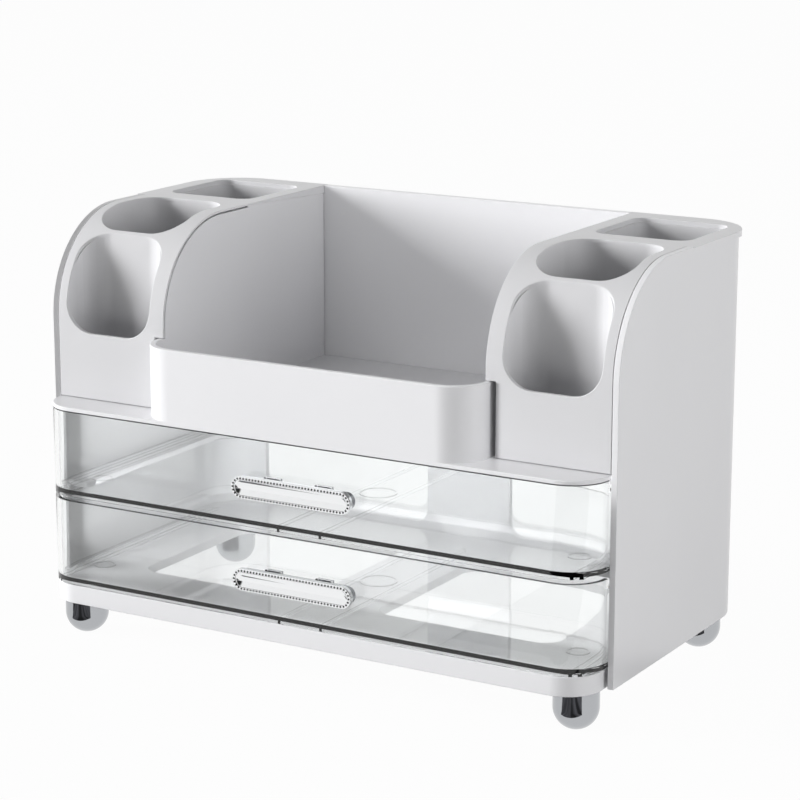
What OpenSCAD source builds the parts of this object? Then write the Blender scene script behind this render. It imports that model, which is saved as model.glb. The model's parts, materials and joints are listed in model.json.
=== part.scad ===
// Makeup storage box: two clear drawers under an open bay that stands between two towers of brush cups.
// Millimetres, +Z up, +X to the right, and the drawers pull out towards -Y.
// The origin is on the floor, at the middle of the box that bounds the whole object.

/* [Case] */
// Width over the two side panels
case_w = 330; // [300:1:380]
// Depth from the drawer fronts to the back face
case_d = 180; // [175:1:220]
// Thickness of the side panels and the back panel
panel_t = 3.3; // [2.6:0.1:4.5]
// Outer radius of the upright corners at the rear
rear_r = 30; // [20:1:38]
// How far the drawer fronts stand ahead of the side panels
front_step = 20.7; // [16:0.1:26]
// Corner radius of the drawer fronts, the ledge and the base
front_r = 20.5; // [10:0.5:26]
// Radius of the curve at the top front of the side panels and the towers
arc_r = 54; // [40:1:70]
// Gap at the seams between the white mouldings
seam = 0.3; // [0.2:0.05:0.5]

/* [Feet and base] */
// Diameter of a foot
foot_d = 23; // [20:0.5:26]
// Height of a foot
foot_h = 20.4; // [16:0.2:28]
// Diameter of the flat that a foot stands on
foot_flat_d = 8; // [5:0.5:12]
// Distance of a foot's centre from the sides, the front and the back
foot_inset = 18.6; // [17:0.1:24]
// Diameter of the stud that holds a foot
stud_d = 5; // [4:0.5:6]
// Height of the base frame
base_h = 10; // [9:0.5:16]
// Thickness of the base frame's top plate
base_plate_t = 2.5; // [2:0.1:3.5]
// Thickness of the base frame's skirts
base_skirt_t = 2.2; // [1.6:0.1:3]
// Gap between the base frame and a side panel
base_gap = 2; // [1:0.1:3]
// Width of the strip between the base frame's two openings
base_post_w = 42; // [30:1:60]
// Width of the strip beside each opening
base_side_w = 36; // [30:1:44]
// Depth of the strip ahead of the openings
base_front_d = 38; // [30:1:46]
// Depth of the strip behind the openings
base_rear_d = 36; // [30:1:46]
// Corner radius of the openings
base_open_r = 10; // [4:1:20]
// Height of the low skirt round each opening
base_lip_h = 2.5; // [1:0.5:5]

/* [Drawers] */
// Height of a drawer front
drawer_h = 45.5; // [36:0.5:60]
// Thickness of a drawer's walls and floor
drawer_wall = 2.2; // [1.6:0.1:3]
// How much lower a drawer's sides and back are than its front
drawer_drop = 5; // [4.5:0.5:10]
// Height of the runner ribs under a drawer
runner_h = 1.2; // [0.8:0.1:2]
// Width of a runner rib
runner_w = 1.6; // [1:0.1:3]
// Distance of the middle runner ribs from the drawer's centre line
runner_mid_x = 12.3; // [6:0.1:14]
// Gap beside a drawer
drawer_side_gap = 0.4; // [0.3:0.1:1]
// Gap behind a drawer
drawer_back_gap = 2.2; // [1:0.1:5]
// Running gap under a drawer
run_gap = 0.3; // [0.2:0.05:0.5]
// Height between the two drawer fronts
drawer_space = 2.5; // [2:0.1:4]
// Width of the rail that carries the upper drawer
rail_w = 14; // [13:0.5:18]
// Thickness of that rail
rail_t = 3; // [2:0.1:4]
// Outer diameter of the ring mark at the middle of a drawer floor
floor_ring_d = 20; // [12:0.5:30]
// Outer diameter of the ring marks at a drawer's front corners
corner_ring_d = 11.5; // [6:0.5:14]

/* [Tray and bay] */
// Thickness of the ledge over the drawers
ledge_t = 2.2; // [1.8:0.1:3.5]
// Gap between the upper drawer and the ledge
ledge_gap = 0.4; // [0.3:0.1:1]
// Clear width of the bay between the towers
bay_w = 188.4; // [150:1:200]
// Thickness of the bay's walls
bay_wall = 3.4; // [2.6:0.1:4]
// Height of the bay's low front wall above the ledge
bay_front_h = 37.6; // [20:0.5:42]
// Corner radius of the low front wall
bay_r = 20; // [8:0.5:24]

/* [Cup towers] */
// Height of a tower above the ledge
tower_h = 96.7; // [85:0.5:120]
// Thickness of a tower's skin
skin_t = 2; // [1.6:0.1:3]
// Thickness of the tower's edge where it laps over a bay wall
lap_t = 0.9; // [0.6:0.1:1.4]
// Distance of a cup from each side of its tower
cup_side = 5.4; // [3:0.1:7]
// Thickness of a cup's walls
cup_wall = 2.2; // [1.6:0.1:2.6]
// Depth of the front cup, from the front skin to the partition
front_cup_d = 19.1; // [16:0.1:24]
// Depth of the middle cup
mid_cup_d = 54; // [36:0.5:56]
// Width of the bar between the middle cup and the rear cup
cup_bar_w = 15; // [14:0.5:20]
// Depth of the rear cup
rear_cup_d = 55; // [24:0.5:57]
// Corner radius of the front cup and the middle cup
cup_r = 15; // [8:0.5:17]
// Corner radius of the rear cup
rear_cup_r = 8; // [4:0.5:12]
// Height of the front cup's sill above the ledge
sill_h = 35.2; // [20:0.2:45]
// Width of the step inside the rear cup's mouth
step_w = 1.2; // [0.6:0.1:2]
// Depth of that step below the top
step_h = 2.4; // [1:0.1:5]
// Height of the top rim at the rear
rim_h = 4.4; // [3:0.1:7]
// Height of the top rim where it begins
rim_start_h = 0.4; // [0.3:0.1:1]
// How far the top rim stands out
rim_out = 1.5; // [0.5:0.1:3]

/* [Back panel] */
// Width of the post between the two windows
post_w = 52; // [30:1:80]
// Distance of a window from the side of the case
window_side = 31; // [28:0.5:50]
// Height of the rail under the windows
window_sill = 16; // [12:0.5:24]
// Height from the top of the windows to the ledge
window_top = 6.6; // [5:0.1:20]
// Corner radius of a window
window_r = 8; // [3:0.5:12]
// Overlap of the back panel and a side panel
lap_w = 8; // [5:0.5:12]

/* [Handles] */
// Length of a handle
handle_l = 70; // [50:1:90]
// Height of a handle
handle_w = 11.7; // [10:0.1:15]
// How far a handle stands out from its drawer
handle_out = 7; // [6:0.1:10]
// Thickness of a handle's bezel
bezel_t = 2.6; // [2.2:0.1:3.5]
// Width of the bezel's rim
bezel_rim_w = 1.8; // [1.4:0.1:2.4]
// Depth of the recess inside the rim
dish_d = 1.8; // [1.4:0.1:2]
// Thickness of the mirror plate in the recess
mirror_t = 1.5; // [1.2:0.1:1.7]
// Depth of the hollow in the mirror's face
hollow_d = 1.1; // [0.6:0.1:1.1]
// Height of the collar behind the bezel
collar_w = 9; // [7:0.1:10]
// How much shorter the collar is than the bezel
collar_short = 2; // [1:0.5:12]
// Diameter of a bead on the rim
bead_d = 1.3; // [0.9:0.05:1.4]
// Spacing of the beads
bead_pitch = 1.68; // [1.5:0.02:2.2]
// Height of a handle's centre above the bottom of its drawer
handle_z = 22.3; // [16:0.1:27]
// Distance between a handle's two snap legs
leg_space = 30; // [16:1:40]
// Distance of a snap leg from the collar's edge
leg_inset = 0.5; // [0:0.1:1]
// Width of a snap leg
leg_w = 9; // [5:0.5:12]
// Thickness of a snap leg
leg_t = 1.6; // [1.2:0.1:2]
// Height of the hook on a snap leg
hook_h = 0.8; // [0.5:0.1:1.2]

/* [Screws] */
// Shank diameter of a screw
screw_d = 3; // [2.5:0.1:3.5]
// Head diameter of a screw
screw_head_d = 5.6; // [5:0.1:6.4]
// Height of a screw's countersunk head
screw_head_h = 1.6; // [1.2:0.1:2]
// Thickness of the tabs that the screws go through
tab_t = 3; // [2.4:0.1:3.4]
// Size of a screw tab along its panel
tab_l = 16; // [12:1:20]
// Distance of a screw from its panel's inner face
tab_reach = 7; // [6:0.5:8]

/* [Hidden] */
$fn = 64;

white = "#e9e9ea";
clear = [0.92, 0.94, 0.95, 0.35];
chrome = "#c9ccd0";
steel = "#8f9499";

// Cutters reach this far past the faces that they open
cut = 1;
// Gap between a stud or screw and its hole
hole_gap = 0.05;

// Across the case
half_w = case_w / 2;
in_x = half_w - panel_t;
bay_in_x = bay_w / 2;
bay_out_x = bay_in_x + bay_wall;
tower_x0 = bay_out_x + seam;
tower_x1 = in_x - seam;
cup_x = (tower_x0 + tower_x1) / 2;
cup_w = tower_x1 - tower_x0 - 2 * cup_side;
notch_x = bay_out_x + 6 * seam;
tray_x = in_x - seam;
drawer_x = in_x - drawer_side_gap;
base_x = in_x - base_gap;
window_x = half_w - window_side;
lap_x = window_x - lap_w;

// Front to back
handle_reach = handle_out + bead_d / 2;
front_y = handle_reach - (case_d + handle_reach + rim_out) / 2;
back_y = front_y + case_d;
back_in_y = back_y - panel_t;
panel_y = front_y + front_step;
arc_y = panel_y + arc_r;
corner_y = back_y - rear_r;
tray_back_y = back_in_y - seam;
drawer_back_y = back_in_y - drawer_back_gap;
front_cup_y = panel_y + skin_t;
partition_y = front_cup_y + front_cup_d;
mid_cup_y = partition_y + cup_wall;
mid_cup_end_y = mid_cup_y + mid_cup_d;
rear_cup_y = mid_cup_end_y + cup_bar_w;
rim_y = mid_cup_end_y + skin_t;
foot_front_y = front_y + foot_inset;
foot_rear_y = back_y - foot_inset;
open_front_y = front_y + base_front_d;
open_rear_y = tray_back_y - base_rear_d;

// Up from the floor
base_z = foot_h;
base_top_z = base_z + base_h;
base_under_z = base_top_z - base_plate_t;
panel_z = base_z + 2 * seam;
lower_z = base_top_z + run_gap;
upper_z = lower_z + drawer_h + drawer_space;
rail_z = upper_z - run_gap - rail_t;
ledge_z = upper_z + drawer_h + ledge_gap;
ledge_top_z = ledge_z + ledge_t;
top_z = ledge_top_z + tower_h;
sill_z = ledge_top_z + sill_h;
bay_front_z = ledge_top_z + bay_front_h;
notch_z = bay_front_z + seam;
window_z0 = base_z + window_sill;
window_z1 = ledge_z - window_top;

// The lap of a tower over a bay wall leaves a dark seam as deep as the lap
lap_gap = lap_t;
bay_wall_inset = lap_t + lap_gap;

// Drawer details
side_runner_x = [in_x - rail_w + 2 * runner_w, in_x - rail_w / 2];
floor_z = runner_h + drawer_wall;
side_top = drawer_h - drawer_drop;
ring_h = 0.3;
ring_w = 0.8;
floor_ring_inset = 79;
floor_ring_y = front_y + floor_ring_inset;
corner_ring_inset = 30;

// Screw places: two tabs on each side panel, two on the back panel, one seat tab a side for the tray
side_tab_ys = [front_y + case_d * 0.28, front_y + case_d * 0.72];
back_tab_xs = [-window_x / 2 - post_w / 4, window_x / 2 + post_w / 4];
tray_screw_y = mid_cup_end_y + cup_bar_w / 2;
tab_in_x = in_x - tab_reach;
tab_wide = 2 * tab_reach;
boss_d = screw_d + 5;
tray_boss_h = 6;
seat_w = 5;
seat_t = 3;

// Handle details
bezel_back = handle_out - bezel_t;
track_r = handle_w / 2 - bezel_rim_w / 2;
track_straight = handle_l - handle_w;
track_l = 2 * track_straight + 2 * PI * track_r;
bead_n = round(track_l / bead_pitch);
leg_z = collar_w / 2 - leg_inset - leg_t / 2;
slot_gap = 0.2;
mirror_gap = 0.1;
mirror_edge = 0.3;

// Draws a side outline, with Y across and Z up, from x0 to x1
module along_x(x0, x1) translate([x0, 0, 0]) rotate([90, 0, 90]) linear_extrude(x1 - x0) children();

// Draws a front outline, with X across and Z up, from y0 to y1
module along_y(y0, y1) translate([0, y1, 0]) rotate([90, 0, 0]) linear_extrude(y1 - y0) children();

// Draws a plan from z0 to z1
module along_z(z0, z1) translate([0, 0, z0]) linear_extrude(z1 - z0) children();

// A box between two corners
module block(low, high) translate(low) cube(high - low);

// A rectangle between two corners, with one radius at its low side and another at its high side
module round_rect(low, high, r_low, r_high) {
    difference() {
        translate(low) square(high - low);
        translate(low) corner_cut(r_low);
        translate([high.x, low.y]) rotate(90) corner_cut(r_low);
        translate(high) rotate(180) corner_cut(r_high);
        translate([low.x, high.y]) rotate(270) corner_cut(r_high);
    }
}

// What a round corner at the origin takes away
module corner_cut(r) {
    if (r > 0) difference() {
        translate([-cut, -cut]) square(r + cut);
        translate([r, r]) circle(r);
    }
}

// A bar with round ends, centred
module stadium(long, tall) {
    square([long - tall, tall], center = true);
    for (s = [-1, 1]) translate([s * (long - tall) / 2, 0]) circle(tall / 2);
}

// The side outline shared by the panels, the towers and the bay walls, set in from its front and its top
module case_outline(inset, z0, y1) {
    r = arc_r - inset;
    y0 = panel_y + inset;
    z1 = top_z - inset;
    translate([y0, z0]) square([y1 - y0, z1 - r - z0]);
    translate([y0 + r, z0]) square([y1 - y0 - r, z1 - z0]);
    intersection() {
        translate([y0 + r, z1 - r]) circle(r);
        translate([y0, z1 - r]) square(r);
    }
}

// The underside of the top rim falls from rim_start_h at rim_y to rim_h at the back face
function rim_under(y) = top_z - rim_start_h - (rim_h - rim_start_h) * (y - rim_y) / (back_y - rim_y);

// The space that the top rim takes from what it covers
module rim_outline(y1) polygon([
    [rim_y, rim_under(rim_y)], [y1, rim_under(y1)], [y1, top_z], [rim_y, top_z]
]);

// A countersunk screw with its head's flat at z = 0, pointing up
module screw(long, gap = 0) {
    cylinder(h = screw_head_h, d1 = screw_head_d + 2 * gap, d2 = screw_d + 2 * gap);
    cylinder(h = long, d = screw_d + 2 * gap);
}

// The two windows in the lower back
module windows(y0, y1) {
    along_y(y0, y1)
        for (s = [0, 1]) mirror([s, 0])
            round_rect([post_w / 2, window_z0], [window_x, window_z1], window_r, window_r);
}

module base_screw_spots() {
    for (y = side_tab_ys, s = [-1, 1]) translate([s * tab_in_x, y, 0]) children();
    for (x = back_tab_xs) translate([x, back_in_y - tab_reach, 0]) children();
}

module tray_screw_spots() {
    for (s = [-1, 1]) translate([s * tab_in_x, tray_screw_y, 0]) children();
}

// The right panel: a flat side that wraps the rear corner
module side_panel() {
    seat_z = ledge_z - seat_t;
    difference() {
        union() {
            intersection() {
                along_z(panel_z, top_z) difference() {
                    translate([lap_x, panel_y]) square([half_w - lap_x, back_y - panel_y]);
                    translate([lap_x - cut, panel_y - cut])
                        square([in_x - lap_x + cut, corner_y - panel_y + cut]);
                    translate([lap_x - cut, corner_y - cut])
                        square([half_w - rear_r - lap_x + cut, back_in_y - corner_y + cut]);
                    translate([half_w - rear_r, corner_y]) circle(rear_r - panel_t);
                    translate([half_w - rear_r, corner_y]) difference() {
                        square(rear_r + cut);
                        circle(rear_r);
                    }
                }
                along_x(lap_x - cut, half_w + cut) difference() {
                    case_outline(0, panel_z, back_y);
                    rim_outline(back_y + cut);
                    translate([rim_y, top_z]) square(case_d);
                }
            }
            block([in_x - rail_w, panel_y + panel_t, rail_z], [in_x + cut, corner_y, rail_z + rail_t]);
            block([in_x - seat_w, panel_y + panel_t, seat_z], [in_x + cut, corner_y, ledge_z]);
            block([in_x - tab_wide, tray_screw_y - tab_l / 2, seat_z],
                [in_x + cut, tray_screw_y + tab_l / 2, ledge_z]);
            for (y = side_tab_ys)
                block([in_x - tab_wide, y - tab_l / 2, panel_z],
                    [in_x + cut, y + tab_l / 2, panel_z + tab_t]);
        }
        // Outer half of the lap joint with the back panel
        block([lap_x - cut, back_in_y - cut, base_z], [window_x, back_y - panel_t / 2, top_z + cut]);
        windows(back_in_y - cut, back_y + cut);
        base_screw_spots() translate([0, 0, panel_z]) screw(base_h, hole_gap);
        tray_screw_spots() translate([0, 0, seat_z]) screw(ledge_t + seat_t, hole_gap);
    }
}

// The back panel: the bay's back wall above, and a post between two windows below
module back_panel() {
    color(white) difference() {
        union() {
            block([-lap_x + seam, back_in_y, base_z], [lap_x - seam, back_y, rim_under(back_in_y)]);
            for (s = [0, 1]) mirror([s, 0, 0])
                block([0, back_in_y, base_z],
                    [window_x - seam, back_y - panel_t / 2 - seam / 2, rim_under(back_in_y)]);
            block([-bay_in_x, back_in_y, ledge_z], [bay_in_x, back_y, top_z]);
            block([-bay_in_x, back_in_y, top_z - rim_h], [bay_in_x, back_y + rim_out, top_z]);
            for (x = back_tab_xs)
                block([x - tab_l / 2, back_in_y - tab_wide, panel_z],
                    [x + tab_l / 2, back_in_y + cut, panel_z + tab_t]);
        }
        windows(back_in_y - cut, back_y + cut);
        // The rim of a tower lies on the top edge outside the bay
        for (s = [0, 1]) mirror([s, 0, 0])
            along_x(bay_in_x, half_w) rim_outline(back_y + cut);
        base_screw_spots() translate([0, 0, panel_z]) screw(base_h, hole_gap);
    }
}

// The base frame: a shallow plate with skirts, open below
module base_frame() {
    corner_r = front_r - base_gap + drawer_side_gap;
    rear_in_r = rear_r - panel_t;
    tab_gap = seam;
    color(white) difference() {
        union() {
            difference() {
                along_z(base_z, base_top_z)
                    round_rect([-base_x, front_y], [base_x, tray_back_y], corner_r, rear_in_r);
                along_z(base_z - cut, base_under_z) round_rect(
                    [-base_x + base_skirt_t, front_y + base_skirt_t],
                    [base_x - base_skirt_t, tray_back_y - base_skirt_t],
                    corner_r - base_skirt_t, rear_in_r - base_skirt_t);
            }
            along_z(base_under_z - base_lip_h, base_top_z) base_openings(base_skirt_t);
            foot_spots() along_z(base_z, base_top_z) circle(d = stud_d + 12);
            base_screw_spots() along_z(panel_z + tab_t, base_top_z) circle(d = boss_d);
        }
        along_z(base_z - cut, base_top_z + cut) base_openings(0);
        foot_spots() along_z(base_z - cut, base_under_z) circle(d = stud_d + 2 * hole_gap);
        base_screw_spots() along_z(base_z, base_under_z + base_plate_t / 2)
            circle(d = screw_d + 2 * hole_gap);
        // Room for the panels' tabs in the skirts
        for (s = [0, 1]) mirror([s, 0, 0]) for (y = side_tab_ys)
            block([base_x - base_skirt_t - tab_gap, y - tab_l / 2 - tab_gap, base_z - cut],
                [base_x + cut, y + tab_l / 2 + tab_gap, panel_z + tab_t + tab_gap]);
        for (x = back_tab_xs)
            block([x - tab_l / 2 - tab_gap, tray_back_y - base_skirt_t - tab_gap, base_z - cut],
                [x + tab_l / 2 + tab_gap, tray_back_y + cut, panel_z + tab_t + tab_gap]);
    }
}

// The plan of the base frame's two openings, grown on all sides
module base_openings(grow) {
    r = base_open_r + grow;
    for (s = [0, 1]) mirror([s, 0])
        round_rect([base_post_w / 2 - grow, open_front_y - grow],
            [base_x - base_side_w + grow, open_rear_y + grow], r, r);
}

module foot_spots() {
    for (x = [-1, 1], y = [foot_front_y, foot_rear_y])
        translate([x * (half_w - foot_inset), y, 0]) children();
}

// A dome foot: a half ball cut flat below, under a short cylinder
module foot(x, y) {
    r = foot_d / 2;
    ball_z = sqrt(pow(r, 2) - pow(foot_flat_d / 2, 2));
    color(chrome) translate([x, y, 0]) difference() {
        union() {
            intersection() {
                translate([0, 0, ball_z]) sphere(r);
                cylinder(h = ball_z, r = r + cut);
            }
            translate([0, 0, ball_z]) cylinder(h = foot_h - ball_z, r = r);
        }
        translate([0, 0, foot_h / 2]) cylinder(h = foot_h, d = stud_d + 2 * hole_gap);
    }
}

module foot_studs() {
    color(steel) foot_spots() along_z(foot_h / 2, base_under_z) circle(d = stud_d);
}

module base_screws() {
    long = base_under_z - panel_z;
    color(steel) base_screw_spots() translate([0, 0, panel_z]) screw(long);
}

module tray_screws() {
    color(steel) tray_screw_spots() translate([0, 0, ledge_z - seat_t]) screw(seat_t + ledge_t + tray_boss_h / 2);
}

// The ledge, the bay's floor and its walls, in one moulding
module bay_tray() {
    color(white) difference() {
        union() {
            along_z(ledge_z, ledge_top_z)
                round_rect([-tray_x, front_y], [tray_x, tray_back_y], front_r, rear_r - panel_t);
            intersection() {
                along_z(ledge_z, top_z) difference() {
                    round_rect([-bay_out_x, front_y], [bay_out_x, tray_back_y], bay_r, 0);
                    round_rect([-bay_in_x, front_y + bay_wall], [bay_in_x, tray_back_y + cut],
                        bay_r - bay_wall, 0);
                }
                along_x(-half_w, half_w) bay_wall_outline();
            }
            tray_screw_spots() along_z(ledge_z, ledge_top_z + tray_boss_h) circle(d = boss_d - 1);
        }
        tray_screw_spots() along_z(ledge_z - cut, ledge_top_z + tray_boss_h - cut)
            circle(d = screw_d + 2 * hole_gap);
    }
}

// Low at the front, then up the curve under the tower's lap, then up to the underside of the rim
module bay_wall_outline() {
    translate([front_y, ledge_z]) square([tray_back_y - front_y, bay_front_z - ledge_z]);
    case_outline(bay_wall_inset, ledge_z, rim_y + seam);
    polygon([
        [rim_y + seam, ledge_z], [tray_back_y, ledge_z],
        [tray_back_y, rim_under(tray_back_y)], [rim_y + seam, rim_under(rim_y + seam)]
    ]);
}

// The plan of one cup, about the tower's middle
module cup_plan(y0, y1, r_front, r_rear, grow) {
    translate([cup_x, 0]) round_rect([-cup_w / 2 - grow, y0 - grow], [cup_w / 2 + grow, y1 + grow],
        r_front + grow, r_rear + grow);
}

// The right tower: a curved skin that three cups hang from
module cup_tower() {
    front_cup_r = skin_t;
    floor_t = ledge_t;
    rear_end_y = rear_cup_y + rear_cup_d;
    difference() {
        union() {
            // Skin over the front, the curve and the top
            along_x(tower_x0, tower_x1) difference() {
                case_outline(0, ledge_top_z + seam, tray_back_y);
                case_outline(skin_t, ledge_top_z, tray_back_y + cut);
            }
            // Lap over the bay wall's edge
            along_x(bay_in_x, tower_x1) difference() {
                case_outline(0, notch_z, rim_y);
                case_outline(lap_t, notch_z - cut, rim_y + cut);
            }
            // Top rim, which covers the side panel, the bay wall and the back panel
            intersection() {
                along_x(bay_in_x, half_w + rim_out) rim_outline(back_y + rim_out);
                along_z(ledge_z, top_z) round_rect([-half_w - rim_out, front_y],
                    [half_w + rim_out, back_y + rim_out], front_r, rear_r + rim_out);
            }
            // Cups
            intersection() {
                along_z(ledge_top_z, top_z) {
                    cup_plan(front_cup_y, partition_y, front_cup_r, cup_r, cup_wall);
                    cup_plan(mid_cup_y, mid_cup_end_y, cup_r, cup_r, cup_wall);
                    cup_plan(rear_cup_y, rear_end_y, rear_cup_r, rear_cup_r, cup_wall);
                }
                along_x(tower_x0, tower_x1) case_outline(0, ledge_z, tray_back_y);
            }
        }
        along_z(ledge_top_z + floor_t, top_z + cut) {
            cup_plan(front_cup_y, partition_y, front_cup_r, cup_r, 0);
            cup_plan(mid_cup_y, mid_cup_end_y, cup_r, cup_r, 0);
            cup_plan(rear_cup_y, rear_end_y, rear_cup_r, rear_cup_r, -step_w);
        }
        along_z(top_z - step_h, top_z + cut) cup_plan(rear_cup_y, rear_end_y, rear_cup_r, rear_cup_r, 0);
        // Mouth of the front cup, through the front skin
        along_y(panel_y - cut, front_cup_y + cut) translate([cup_x, 0])
            round_rect([-cup_w / 2, sill_z], [cup_w / 2, top_z + arc_r], cup_r, cup_r);
        // Notch for the end of the bay's low front wall
        block([0, panel_y - cut, ledge_z], [notch_x, front_cup_y, notch_z]);
    }
}

// A drawer with its front's bottom at z = 0
module drawer() {
    rear_in_r = rear_r - panel_t;
    color(clear) difference() {
        union() {
            along_z(runner_h, drawer_h)
                round_rect([-drawer_x, front_y], [drawer_x, drawer_back_y], front_r, rear_in_r);
            // The front's bottom rim and the runner ribs stand on what carries the drawer
            intersection() {
                along_z(0, runner_h + cut)
                    round_rect([-drawer_x, front_y], [drawer_x, drawer_back_y], front_r, rear_in_r);
                union() {
                    block([-half_w, front_y, 0], [half_w, front_y + drawer_wall, runner_h + cut]);
                    for (s = [-1, 1], x = concat(runner_mid_x, side_runner_x))
                        translate([s * x - runner_w / 2, front_y, 0])
                            cube([runner_w, corner_y - front_y, runner_h + cut]);
                }
            }
        }
        along_z(floor_z, drawer_h + cut) round_rect(
            [-drawer_x + drawer_wall, front_y + drawer_wall],
            [drawer_x - drawer_wall, drawer_back_y - drawer_wall],
            front_r - drawer_wall, rear_in_r - drawer_wall);
        block([-half_w, panel_y, side_top], [half_w, back_y, drawer_h + cut]);
        handle_slots();
    }
    color(clear) floor_rings();
}

module floor_rings() {
    places = [
        [0, floor_ring_y, floor_ring_d],
        [drawer_x - corner_ring_inset + front_r / 2, front_y + corner_ring_inset, corner_ring_d],
        [-drawer_x + corner_ring_inset - front_r / 2, front_y + corner_ring_inset, corner_ring_d]
    ];
    for (p = places) translate([p.x, p.y, 0]) along_z(floor_z - ring_h, floor_z + ring_h) difference() {
        circle(d = p.z);
        circle(d = p.z - 2 * ring_w);
    }
}

module handle_slots() {
    tall = leg_t + hook_h + 2 * slot_gap;
    for (s = [-1, 1])
        block([s * leg_space / 2 - leg_w / 2 - slot_gap, front_y - cut, handle_z + leg_z - leg_t / 2 - slot_gap],
            [s * leg_space / 2 + leg_w / 2 + slot_gap, front_y + drawer_wall + cut,
                handle_z + leg_z - leg_t / 2 - slot_gap + tall]);
}

// A place on the bead track, by the distance along it
function track_place(s) =
    let (half = track_straight / 2, bend = PI * track_r)
    s < track_straight ? [s - half, track_r]
    : s < track_straight + bend ? [half, 0] + track_r * turn((s - track_straight) / track_r)
    : s < 2 * track_straight + bend ? [half - (s - track_straight - bend), -track_r]
    : [-half, 0] - track_r * turn((s - 2 * track_straight - bend) / track_r);

function turn(angle) = [sin(angle * 180 / PI), cos(angle * 180 / PI)];

// A handle's chrome frame, with its drawer's bottom at z = 0
module handle_frame() {
    face_y = front_y - handle_out;
    color(chrome) translate([0, 0, handle_z]) {
        difference() {
            union() {
                along_y(face_y, face_y + bezel_t) stadium(handle_l, handle_w);
                along_y(face_y + bezel_t / 2, front_y) stadium(handle_l - collar_short, collar_w);
                for (n = [0 : bead_n - 1]) {
                    p = track_place(n * track_l / bead_n);
                    translate([p.x, face_y, p.y]) sphere(d = bead_d, $fn = 16);
                }
            }
            along_y(face_y - cut, face_y + dish_d)
                stadium(handle_l - 2 * bezel_rim_w, handle_w - 2 * bezel_rim_w);
        }
        for (s = [-1, 1]) translate([s * leg_space / 2, 0, leg_z]) {
            block([-leg_w / 2, front_y - bezel_back / 2, -leg_t / 2],
                [leg_w / 2, front_y + drawer_wall + 2 * hook_h + slot_gap, leg_t / 2]);
            block([-leg_w / 2, front_y + drawer_wall + slot_gap, -leg_t / 2],
                [leg_w / 2, front_y + drawer_wall + 2 * hook_h + slot_gap, leg_t / 2 + hook_h]);
        }
    }
}

// A mirror plate, hollowed as by a ball that is drawn along its middle and leaves a flat edge round it
module handle_mirror() {
    dish_y = front_y - handle_out + dish_d;
    face_y = dish_y - mirror_t;
    tall = handle_w - 2 * bezel_rim_w - 2 * mirror_gap;
    straight = handle_l - handle_w;
    hollow_w = tall - 2 * mirror_edge;
    ball_r = (pow(hollow_w / 2, 2) + pow(hollow_d, 2)) / (2 * hollow_d);
    color(chrome) translate([0, 0, handle_z]) difference() {
        along_y(face_y, dish_y) stadium(straight + tall, tall);
        translate([0, face_y + hollow_d - ball_r, 0]) {
            rotate([0, 90, 0]) cylinder(h = straight, r = ball_r, center = true);
            for (s = [-1, 1]) translate([s * straight / 2, 0, 0]) sphere(ball_r);
        }
    }
}

module left_side_panel() { color(white) mirror([1, 0, 0]) side_panel(); }
module right_side_panel() { color(white) side_panel(); }
module left_cup_tower() { color(white) mirror([1, 0, 0]) cup_tower(); }
module right_cup_tower() { color(white) cup_tower(); }
module upper_drawer() { translate([0, 0, upper_z]) drawer(); }
module lower_drawer() { translate([0, 0, lower_z]) drawer(); }
module upper_handle_frame() { translate([0, 0, upper_z]) handle_frame(); }
module lower_handle_frame() { translate([0, 0, lower_z]) handle_frame(); }
module upper_handle_mirror() { translate([0, 0, upper_z]) handle_mirror(); }
module lower_handle_mirror() { translate([0, 0, lower_z]) handle_mirror(); }

left_side_panel();
right_side_panel();
back_panel();
base_frame();
bay_tray();
left_cup_tower();
right_cup_tower();
upper_drawer();
lower_drawer();
upper_handle_frame();
lower_handle_frame();
upper_handle_mirror();
lower_handle_mirror();
foot(foot_inset - half_w, foot_front_y);  // front_left_foot
foot(half_w - foot_inset, foot_front_y);  // front_right_foot
foot(foot_inset - half_w, foot_rear_y);  // rear_left_foot
foot(half_w - foot_inset, foot_rear_y);  // rear_right_foot
foot_studs();
base_screws();
tray_screws();
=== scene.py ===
import json
import math

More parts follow.
